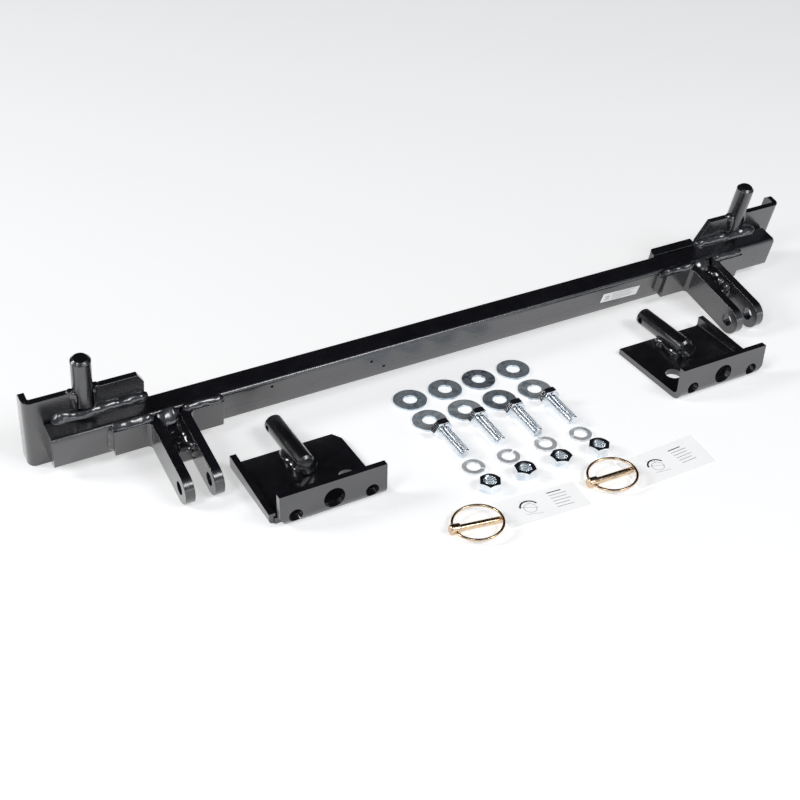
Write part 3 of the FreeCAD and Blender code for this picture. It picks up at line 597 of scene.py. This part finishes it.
def bolt_mesh(node):
    """A half-inch hex bolt along Z from its tip, with a rolled thread."""
    thread, rows = thread_rows(0.0, SHANK - 1.5, 6.32, 5.3, COLUMNS)
    points = [Vector((0.0, 0.0, 0.0))] + thread
    faces = [(0, 1 + column, 1 + (column + 1) % COLUMNS) for column in range(COLUMNS)]
    neck = [(SHANK - 1.2, 6.1), (SHANK - 0.35, 6.2), (SHANK - 0.05, 6.7)]
    for height, radius in neck:
        points += circle(radius, height)
    top = SHANK + HEAD_HEIGHT
    head = [(SHANK, 8.9, 0), (SHANK + 0.35, 9.0, 0), (SHANK + 0.4, None, -1), (top - 0.1, None, 1),
            (top, FLAT * 0.95, 0), (top - 0.15, FLAT * 0.80, 0), (top - 0.2, 3.0, 0)]
    points += hexagon_rows(head, COLUMNS)
    total = rows + len(neck) + len(head)
    faces += grid_faces(total, COLUMNS, wrap=True, offset=1)
    faces.append(tuple(1 + (total - 1) * COLUMNS + column for column in range(COLUMNS)))
    return mesh_of(node, [point * MM for point in points], faces)


def nut_mesh(node):
    """A half-inch hex nut, chamfered on both faces, with its thread."""
    bore, rows = thread_rows(1.0, NUT_HEIGHT - 1.0, 6.1, 5.65, COLUMNS, taper=0.01)
    outline = [(NUT_HEIGHT - 0.02, FLAT * 0.93, 0), (NUT_HEIGHT - 0.25, None, 1),
               (0.25, None, -1), (0.02, FLAT * 0.93, 0)]
    above = circle(6.9, NUT_HEIGHT - 0.1) + circle(7.2, NUT_HEIGHT)
    below = circle(7.2, 0.0) + circle(6.9, 0.1)
    points = bore + above + hexagon_rows(outline, COLUMNS) + below
    total = rows + 2 + len(outline) + 2
    faces = grid_faces(total, COLUMNS, wrap=True)
    last = (total - 1) * COLUMNS
    for column in range(COLUMNS):
        following = (column + 1) % COLUMNS
        faces.append((last + column, last + following, following, column))
    return mesh_of(node, [point * MM for point in points], faces)


for number in range(1, SET_COUNT + 1):
    node = f"hex_bolt_{number}"
    mesh = bolt_mesh(node)
    mesh.transform(bolt_frame(node))
    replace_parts(finish(node + "_threaded", mesh, BOLT_ZINC, node, 42), node)

    node = f"hex_nut_{number}"
    low, high = (Vector(corner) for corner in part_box(node))
    middle = Vector(((low.x + high.x) / 2, (low.y + high.y) / 2, low.z))
    corner = max((Vector(vertex.co) - middle for vertex in frame["nodes"][node].data.vertices),
                 key=lambda away: away.xy.length)
    mesh = nut_mesh(node)
    mesh.transform(Matrix.Translation(middle)
                   @ Matrix.Rotation(math.atan2(corner.y, corner.x) + math.pi / 6, 4, "Z"))
    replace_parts(finish(node + "_threaded", mesh, BOLT_ZINC, node, 42), node)

    eased(f"lock_washer_{number}", LOCK_ZINC, 0.35, 2)
    # The b washers except the third take the lighter copy as painted light; washer 3a takes the darker copy
    # as painted shade.
    eased(f"flat_washer_{number}a", PAINTED_SHADE_WASHER_ZINC if number == 3 else WASHER_ZINC, 0.45, 3)
    eased(f"flat_washer_{number}b", WASHER_ZINC if number == 3 else PAINTED_LIGHT_WASHER_ZINC, 0.45, 3)


# ---------------------------------------------------------------- linch pins and sheets

for number in PAIR:
    eased(f"linch_pin_{number}", GOLD_ZINC, 0.3, 2)
    eased(f"ring_{number}", GOLD_ZINC, 0.05, 1, 80)
    eased(f"decal_sheet_{number}", SHEET_WHITE, 0.1, 1)


def strokes(name, node, lines, width, material, place):
    """Thin printed lines, in millimetres in a plane of their own that a matrix puts in place."""
    points, faces = [], []
    for line in lines:
        spots = [Vector((x, y, 0)) for x, y in line]
        for first, second in zip(spots, spots[1:]):
            way = (second - first).normalized()
            aside = Vector((-way.y, way.x, 0)) * width / 2
            base = len(points)
            for spot in (first - way * width * 0.3, second + way * width * 0.3):
                points += [place @ (spot + aside), place @ (spot - aside)]
            faces.append((base, base + 1, base + 3, base + 2))
    return finish(name, mesh_of(name, points, faces), material, node)


def bars(left, top, pitch, lengths):
    """Rows of plain bars, where the real one has words."""
    return [[(left, top - pitch * row), (left + length, top - pitch * row)]
            for row, length in enumerate(lengths)]


def print_sheet(number):
    """Neutral print for a decal sheet: a plain sketch of a bent rod, and bars where words would be."""
    node = f"decal_sheet_{number}"
    low, high = (Vector(corner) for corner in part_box(node))
    middle = (low + high) / 2
    spots = [Vector(vertex.co) for vertex in frame["nodes"][node].data.vertices]
    ends = [[spot for spot in spots if (spot.x - middle.x) * sign > 0] for sign in (-1, 1)]
    left_end, right_end = (sum(end, Vector()) / len(end) for end in ends)
    across = right_end - left_end
    turn = math.atan2(across.y, across.x)
    place = (Matrix.Translation((middle.x, middle.y, high.z + 0.06 * MM)) @ Matrix.Rotation(turn, 4, "Z")
             @ Matrix.Scale(MM, 4))
    rows = bars(12, 11, 4.2, (14, 18, 16, 18, 15, 17))
    strokes(f"{node}_bars", node, rows[1:], 0.7, PALE_INK, place)
    strokes(f"{node}_headline", node, rows[:1], 1.3, DARK_INK, place)
    arc = [(-12 + 9 * math.cos(step / 10), -1 + 9 * math.sin(step / 10)) for step in range(4, 30)]
    loop = [(-12 + 6 * math.cos(step / 10), -2 + 6 * math.sin(step / 10)) for step in range(0, 64)]
    guides = [[(-20, -9), (-4, -12)], [(-22, 3), (-5, -4)], [(-18, 10), (-9, 4)]]
    strokes(f"{node}_sketch", node, [loop] + guides, 0.4, PALE_INK, place)
    strokes(f"{node}_rod", node, [arc], 1.6, DARK_INK, place)


for number in PAIR:
    print_sheet(number)
LABEL_MIDDLE = (210, -HALF_DEPTH - 0.36, 1.2)
LABEL_PLACE = BAR @ Matrix.Translation(LABEL_MIDDLE) @ Matrix.Rotation(math.pi / 2, 4, "X")
strokes("bar_label_bars", "bar_label", bars(-11, 3.6, 2.4, (30, 24, 28, 26)), 0.8, PALE_INK, LABEL_PLACE)
strokes("bar_label_block", "bar_label", [[(-20, y), (-15, y)] for y in (1.5, -1.8)], 2.0, PALE_INK,
        LABEL_PLACE)


# ---------------------------------------------------------------- floor, light and camera

floor_mesh = bpy.data.meshes.new("floor")
REACH = 9.0
FLOOR_GAP = 0.0002
floor_mesh.from_pydata([(-REACH, -REACH, 0), (REACH, -REACH, 0), (REACH, REACH, 0), (-REACH, REACH, 0)], [],
                       [(0, 1, 2, 3)])
floor_mesh.materials.append(pale_floor())
floor = bpy.data.objects.new("floor", floor_mesh)
bpy.context.scene.collection.objects.link(floor)
floor.location.z = min(0.0, CAD_BOX[0][2]) - FLOOR_GAP


def soft_light(name, place, target, width, height, power, tone=(1, 1, 1)):
    """A rectangular soft light that faces a target."""
    lamp = bpy.data.lights.new(name, "AREA")
    lamp.shape = "RECTANGLE"
    lamp.size, lamp.size_y = width, height
    lamp.energy = power
    lamp.color = tone
    light = bpy.data.objects.new(name, lamp)
    light.location = place
    light.rotation_euler = (Vector(target) - Vector(place)).to_track_quat("-Z", "Y").to_euler()
    bpy.context.scene.collection.objects.link(light)


soft_light("key", (-1.9, -0.9, 1.9), (0, 0, 0), 0.7, 0.7, 12)
soft_light("front_top", (0.7, -1.7, 1.9), (0, 0, 0), 1.1, 0.6, 19)
soft_light("front_low", (0.9, -2.6, 0.42), (0, 0, 0), 4.0, 0.4, 11, (0.90, 0.94, 1.0))
soft_light("back_left", (-2.4, 1.0, 1.6), (0, 0.3, 0), 0.8, 0.8, 26)

# The world is pale in front and dark behind and overhead, so the tops of the bar stay black.
world = bpy.data.worlds.new("studio")
bpy.context.scene.world = world
world.use_nodes = True
tree = world.node_tree
background = tree.nodes["Background"]
background.inputs["Strength"].default_value = 1.0
sky = tree.nodes.new("ShaderNodeTexCoord").outputs["Generated"]
split = tree.nodes.new("ShaderNodeSeparateXYZ")
tree.links.new(sky, split.inputs["Vector"])
toward = tree.nodes.new("ShaderNodeMapRange")
for socket, number in (("From Min", -0.60), ("From Max", -0.05), ("To Min", 0.0), ("To Max", 1.0)):
    toward.inputs[socket].default_value = number
tree.links.new(split.outputs["Y"], toward.inputs["Value"])
fade = tree.nodes.new("ShaderNodeValToRGB")
fade.color_ramp.elements[0].color = (0.27, 0.29, 0.32, 1)
fade.color_ramp.elements[1].color = (0.010, 0.010, 0.012, 1)
tree.links.new(toward.outputs["Result"], fade.inputs["Fac"])
tree.links.new(fade.outputs["Color"], background.inputs["Color"])

bpy.context.scene.view_settings.view_transform = "Standard"

# The camera, as fitted to the photo: angles in radians, place in metres.
CAMERA_PLACE = (-0.6188, -0.8758, 0.7629)
YAW, PITCH_DOWN, ROLL = 0.514, 0.610, 0.021
forward = Vector((math.sin(YAW) * math.cos(PITCH_DOWN), math.cos(YAW) * math.cos(PITCH_DOWN),
                  -math.sin(PITCH_DOWN)))
level = Vector((math.cos(YAW), -math.sin(YAW), 0))
upright = level.cross(forward)
right = level * math.cos(ROLL) + upright * math.sin(ROLL)
up = upright * math.cos(ROLL) - level * math.sin(ROLL)
lens = bpy.data.cameras.new("camera")
lens.sensor_width = 36.0
lens.lens = 59.18
lens.clip_start = 0.05
camera = bpy.data.objects.new("camera", lens)
turned = Matrix((right, up, -forward)).transposed().to_4x4()
camera.matrix_world = Matrix.Translation(CAMERA_PLACE) @ turned
bpy.context.scene.collection.objects.link(camera)
bpy.context.scene.camera = camera
